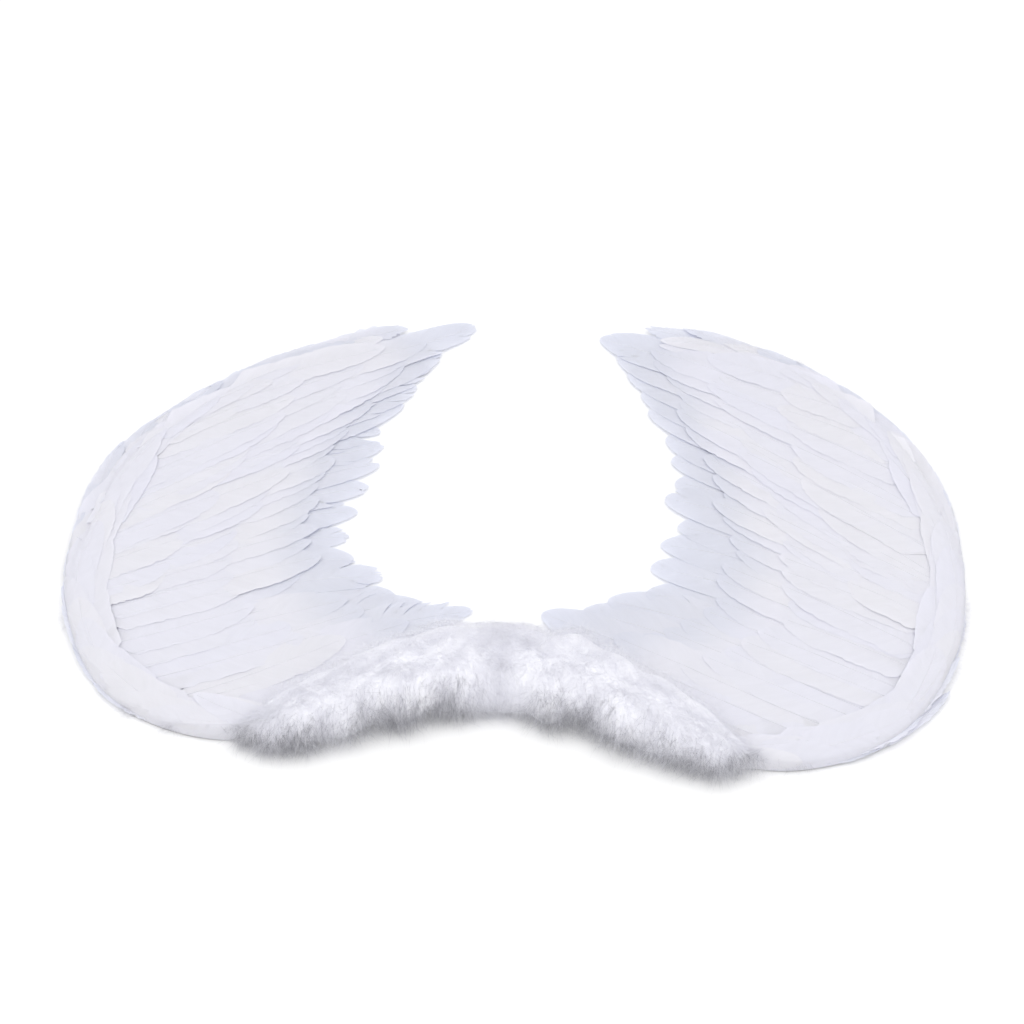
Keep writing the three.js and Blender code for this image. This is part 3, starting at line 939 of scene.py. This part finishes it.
def trim_core(trim):
    """The dense middle of the down, a closed lumpy body under the tufts: points, faces, barbs and shares of
    painted shade.
    """
    rows, columns = CORE_GRID
    offset, angle = np.meshgrid(
        np.linspace(0.0, trim.across[-1], rows),
        np.linspace(trim.angles[0], trim.angles[-1], columns),
        indexing="ij",
    )
    depth = read(CORE_DEPTHS, np.degrees(angle))
    points = trim.surface(offset, angle, depth).reshape(-1, 3)
    points[:, 2] = np.maximum(points[:, 2], 2 * FLOOR_CLEARANCE)
    middles = trim.centre(np.array([0.0, trim.across[-1]]))
    near, far = len(points), len(points) + 1
    ring = np.arange(columns)
    turned = np.roll(ring, -1)
    blank = np.full(columns, -1)
    last = (rows - 1) * columns
    ends = np.concatenate([
        np.column_stack([np.full(columns, near), turned, ring, blank]),
        np.column_stack([np.full(columns, far), ring + last, turned + last, blank]),
    ])
    faces = np.concatenate([ring_quads(rows, columns), ends])
    if trim.sign < 0:
        faces = np.where(faces[:, 3:] < 0, faces[:, [2, 1, 0, 3]], faces[:, ::-1])
    # Painted shade: the underside of the core turns grey between these angles.
    painted_shade = smoothstep(*CORE_PAINTED_SHADE, np.degrees(angle).ravel())
    combed = np.column_stack([offset.ravel(), angle.ravel() * CORE_RADIUS]) * MILLIMETRES
    return np.concatenate([points, middles]), faces, np.concatenate([combed, combed[:2]]), [*painted_shade, 0, 0]


def marabou(side, material, core_material):
    """The down of one side: a soft core with tufts all over it."""
    trim = Trim(side)
    core = Skin()
    points, faces, combed, painted_shade = trim_core(trim)
    core.add(points, faces, combed, (0, 0, DOWN_SEED))
    core.looks[0][:, 0] = painted_shade
    core.piece(f"{trim.node}_core", core_material, [trim.node])
    for number, row in enumerate(TUFTS, start=1):
        rng = rng_for(f"{trim.node} tufts {number}")
        skin = Skin()
        # Each row's painted shade grey and painted light white go with its barbs.
        strands(skin, tuft_barbs(trim, row, rng), row.painted_shade, row.white)
        skin.piece(f"{trim.node}_tufts_{number}", material)


class Shader:
    """A material's node tree, with short calls for adding and joining nodes."""

    def __init__(self, name):
        self.material = bpy.data.materials.new(name)
        self.material.use_nodes = True
        self.tree = self.material.node_tree
        self.surface = self.tree.nodes["Principled BSDF"]

    def node(self, kind, **values):
        """Adds a node. A value sets an input by its name with _ for spaces, or else a property."""
        made = self.tree.nodes.new(f"ShaderNode{kind}")
        for name, value in values.items():
            self.put(made, name, value)
        return made

    def put(self, node, name, value):
        socket = node.inputs.get(name.replace("_", " "))
        if socket is None:
            setattr(node, name, value)
        else:
            self.feed(socket, value)

    def feed(self, socket, value):
        """Joins an input to another node's output, or sets it to a number or a colour."""
        if isinstance(value, bpy.types.NodeSocket):
            self.tree.links.new(value, socket)
        else:
            socket.default_value = value

    def math(self, operation, first, second):
        made = self.node("Math", operation=operation)
        self.feed(made.inputs[0], first)
        self.feed(made.inputs[1], second)
        return made.outputs[0]

    def mix(self, factor, first, second, blend="MIX"):
        made = self.node("Mix", data_type="RGBA", blend_type=blend)
        for index, value in ((0, factor), (6, first), (7, second)):
            self.feed(made.inputs[index], value)
        return made.outputs[2]

    def noise(self, place, scale, detail, roughness, distortion=0.0):
        made = self.node("TexNoise", Vector=place, Scale=scale, Detail=detail)
        self.put(made, "Roughness", roughness)
        self.put(made, "Distortion", distortion)
        return made.outputs[0]

    def finish(self, **values):
        """Sets inputs of the surface and gives the material."""
        for name, value in values.items():
            self.put(self.surface, name, value)
        return self.material

    def see_through(self, share, colour):
        """Lets a share of the light come through the surface from behind."""
        output = self.tree.nodes["Material Output"]
        thin = self.node("BsdfTranslucent", Color=colour)
        blend = self.node("MixShader", Fac=share)
        self.tree.links.new(self.surface.outputs[0], blend.inputs[1])
        self.tree.links.new(thin.outputs[0], blend.inputs[2])
        self.tree.links.new(blend.outputs[0], output.inputs["Surface"])


SEED_SPACING = 70.0  # keeps the streaks of two feathers apart
FIBRE_SHARE = 0.6  # of fine fibres in the shade of felt, beside soft clouds


def barb_noise(shader, place, scales, detail, roughness):
    """Noise drawn out along the barbs. place is (along, across, offset), with scales for the first two."""
    along, across, offset = place
    drawn = shader.node("CombineXYZ", Z=offset)
    shader.feed(drawn.inputs["X"], shader.math("MULTIPLY", along, scales[0]))
    shader.feed(drawn.inputs["Y"], shader.math("MULTIPLY", across, scales[1]))
    return shader.noise(drawn.outputs[0], 1.0, detail, roughness)


def feather_material(name, whites):
    """A white feather: barbs as fine streaks across the vane, a pale shaft, each feather its own tint, and a
    tip that fades to painted shade.
    """
    shader = Shader(name)
    look = shader.node("Attribute", attribute_name="look")
    tint, quill, seed = shader.node("SeparateColor", Color=look.outputs["Color"]).outputs[:3]
    flat = shader.node("UVMap", uv_map="barbs").outputs[0]
    along, across = shader.node("SeparateXYZ", Vector=flat).outputs[:2]
    place = (along, across, shader.math("MULTIPLY", seed, SEED_SPACING))
    barbs = barb_noise(shader, place, scales=(1.5, 0.07), detail=3.0, roughness=0.6)
    locks = barb_noise(shader, place, scales=(0.22, 0.04), detail=2.0, roughness=0.5)
    both = shader.math("ADD", barbs, locks)
    ranges = shader.node("MapRange", Value=both, From_Min=0.6, From_Max=1.4, To_Min=0.97, To_Max=1.01)
    shade = ranges.outputs[0]
    streaks = shader.node("CombineColor", Red=shade, Green=shade, Blue=shade).outputs[0]
    # Painted shade: by the look's fourth number the vane fades towards a bluish grey at its tip.
    vane_colour = shader.mix(look.outputs["Alpha"], shader.mix(tint, *whites), TIP_PAINTED_SHADE)
    colour = shader.mix(quill, shader.mix(1.0, vane_colour, streaks, "MULTIPLY"), QUILL_COLOUR)
    bump = shader.node("Bump", Height=barbs, Strength=0.35, Distance=0.00025).outputs[0]
    shader.see_through(VANE_SEE_THROUGH, colour)
    return shader.finish(
        Base_Color=colour, Roughness=0.62, Specular_IOR_Level=0.3, Sheen_Weight=0.15, Normal=bump
    )


def down_material(name, whites, see_through):
    """Loose white down, a little uneven from place to place, with looks that paint shade as grey and paint
    light as a brighter white.
    """
    shader = Shader(name)
    look = shader.node("Attribute", attribute_name="look")
    painted_shade, white = shader.node("SeparateColor", Color=look.outputs["Color"]).outputs[:2]
    place = shader.node("TexCoord").outputs["Object"]
    clumps = shader.noise(place, scale=60.0, detail=4.0, roughness=0.6)
    ranges = shader.node("MapRange", Value=clumps, From_Min=0.3, From_Max=0.7, To_Min=0.0, To_Max=1.0)
    shade = ranges.outputs[0]
    # Painted light: the look's second number mixes in a brighter white where hair would look shaded.
    unshaded = shader.mix(white, shader.mix(shade, *whites), PAINTED_LIGHT_WHITE)
    # Painted shade: the look's first number mixes in the grey of down in shade.
    colour = shader.mix(painted_shade, unshaded, PAINTED_SHADE_GREY)
    fuzz = shader.noise(place, scale=420.0, detail=5.0, roughness=0.7, distortion=1.5)
    bump = shader.node("Bump", Height=fuzz, Strength=0.25, Distance=0.0008).outputs[0]
    if see_through:
        shader.see_through(see_through, colour)
    return shader.finish(Base_Color=colour, Roughness=0.9, Specular_IOR_Level=0.1, Normal=bump)


def felt_material():
    """White needled felt: matted fibres, fine and without a direction."""
    shader = Shader("felt_backing")
    place = shader.node("TexCoord").outputs["Object"]
    fibres = shader.noise(place, scale=1400.0, detail=5.0, roughness=0.7, distortion=2.5)
    clouds = shader.noise(place, scale=45.0, detail=3.0, roughness=0.5)
    fine = shader.math("MULTIPLY", fibres, FIBRE_SHARE)
    coarse = shader.math("MULTIPLY", clouds, 1 - FIBRE_SHARE)
    shade = shader.math("ADD", fine, coarse)
    bump = shader.node("Bump", Height=fibres, Strength=0.6, Distance=0.0005).outputs[0]
    colour = shader.mix(shade, *FELT_WHITES)
    return shader.finish(Base_Color=colour, Roughness=0.95, Sheen_Weight=0.3, Normal=bump)


def felt_backing():
    """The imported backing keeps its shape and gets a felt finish. It is one laid sheet."""
    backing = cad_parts["backing"]
    backing.data.materials.clear()
    backing.data.materials.append(felt_material())


def floor():
    """A plain pale floor, far larger than the view, just clear of the felt that lies on it."""
    corners = [(x, y, 0) for x, y in ((-1, -1), (1, -1), (1, 1), (-1, 1))]
    mesh = bpy.data.meshes.new("floor")
    mesh.from_pydata([FLOOR_SIZE * Vector(corner) for corner in corners], [], [(0, 1, 2, 3)])
    shader = Shader("floor")
    place = shader.node("TexCoord").outputs["Object"]
    colour = shader.mix(shader.noise(place, scale=3.0, detail=2.0, roughness=0.5), *FLOOR_WHITES)
    mesh.materials.append(shader.finish(Base_Color=colour, Roughness=1.0, Specular_IOR_Level=0.0))
    made = add_object("floor", mesh)
    made.location.z = -FLOOR_DROP


def studio():
    """A square soft light above, facing the middle of the wings, with an even light from all round."""
    scene = bpy.context.scene
    scene.world = bpy.data.worlds.new("studio")
    scene.world.use_nodes = True
    background = scene.world.node_tree.nodes["Background"]
    background.inputs["Color"].default_value = (1.0, 1.0, 1.0, 1)
    background.inputs["Strength"].default_value = WORLD_STRENGTH
    light = bpy.data.lights.new("key", "AREA")
    light.size = KEY_SIZE
    light.energy = KEY_ENERGY
    key = add_object("key", light)
    key.location = KEY_PLACE
    key.rotation_euler = (-Vector(KEY_PLACE)).to_track_quat("-Z", "Y").to_euler()
    scene.view_settings.view_transform = "Standard"
    scene.cycles.diffuse_bounces = DIFFUSE_BOUNCES


def camera():
    """A camera at the photograph's viewing angle."""
    data = bpy.data.cameras.new("camera")
    data.lens = CAMERA_LENS
    made = add_object("camera", data)
    azimuth, elevation = math.radians(CAMERA_AZIMUTH), math.radians(CAMERA_ELEVATION)
    back = Vector((
        math.sin(azimuth) * math.cos(elevation),
        -math.cos(azimuth) * math.cos(elevation),
        math.sin(elevation),
    ))
    made.location = CAMERA_TARGET + back * CAMERA_DISTANCE
    made.rotation_euler = (-back).to_track_quat("-Z", "Y").to_euler()
    bpy.context.scene.camera = made


camera()
studio()
floor()
felt_backing()
flight_look = feather_material("flight_feather", FLIGHT_WHITES)
covert_look = feather_material("covert_feather", COVERT_WHITES)
down_look = down_material("marabou_down", HAIR_WHITES, HAIR_SEE_THROUGH)
core_look = down_material("marabou_core", CORE_WHITES, 0.0)
for wing in map(Wing, SIDES):
    flight_feathers(wing, flight_look)
    coverts(wing, covert_look)
    rim_coverts(wing, covert_look)
    edge_feathers(wing, flight_look)
    wisps(wing, down_look)
    marabou(wing.side, down_look, core_look)
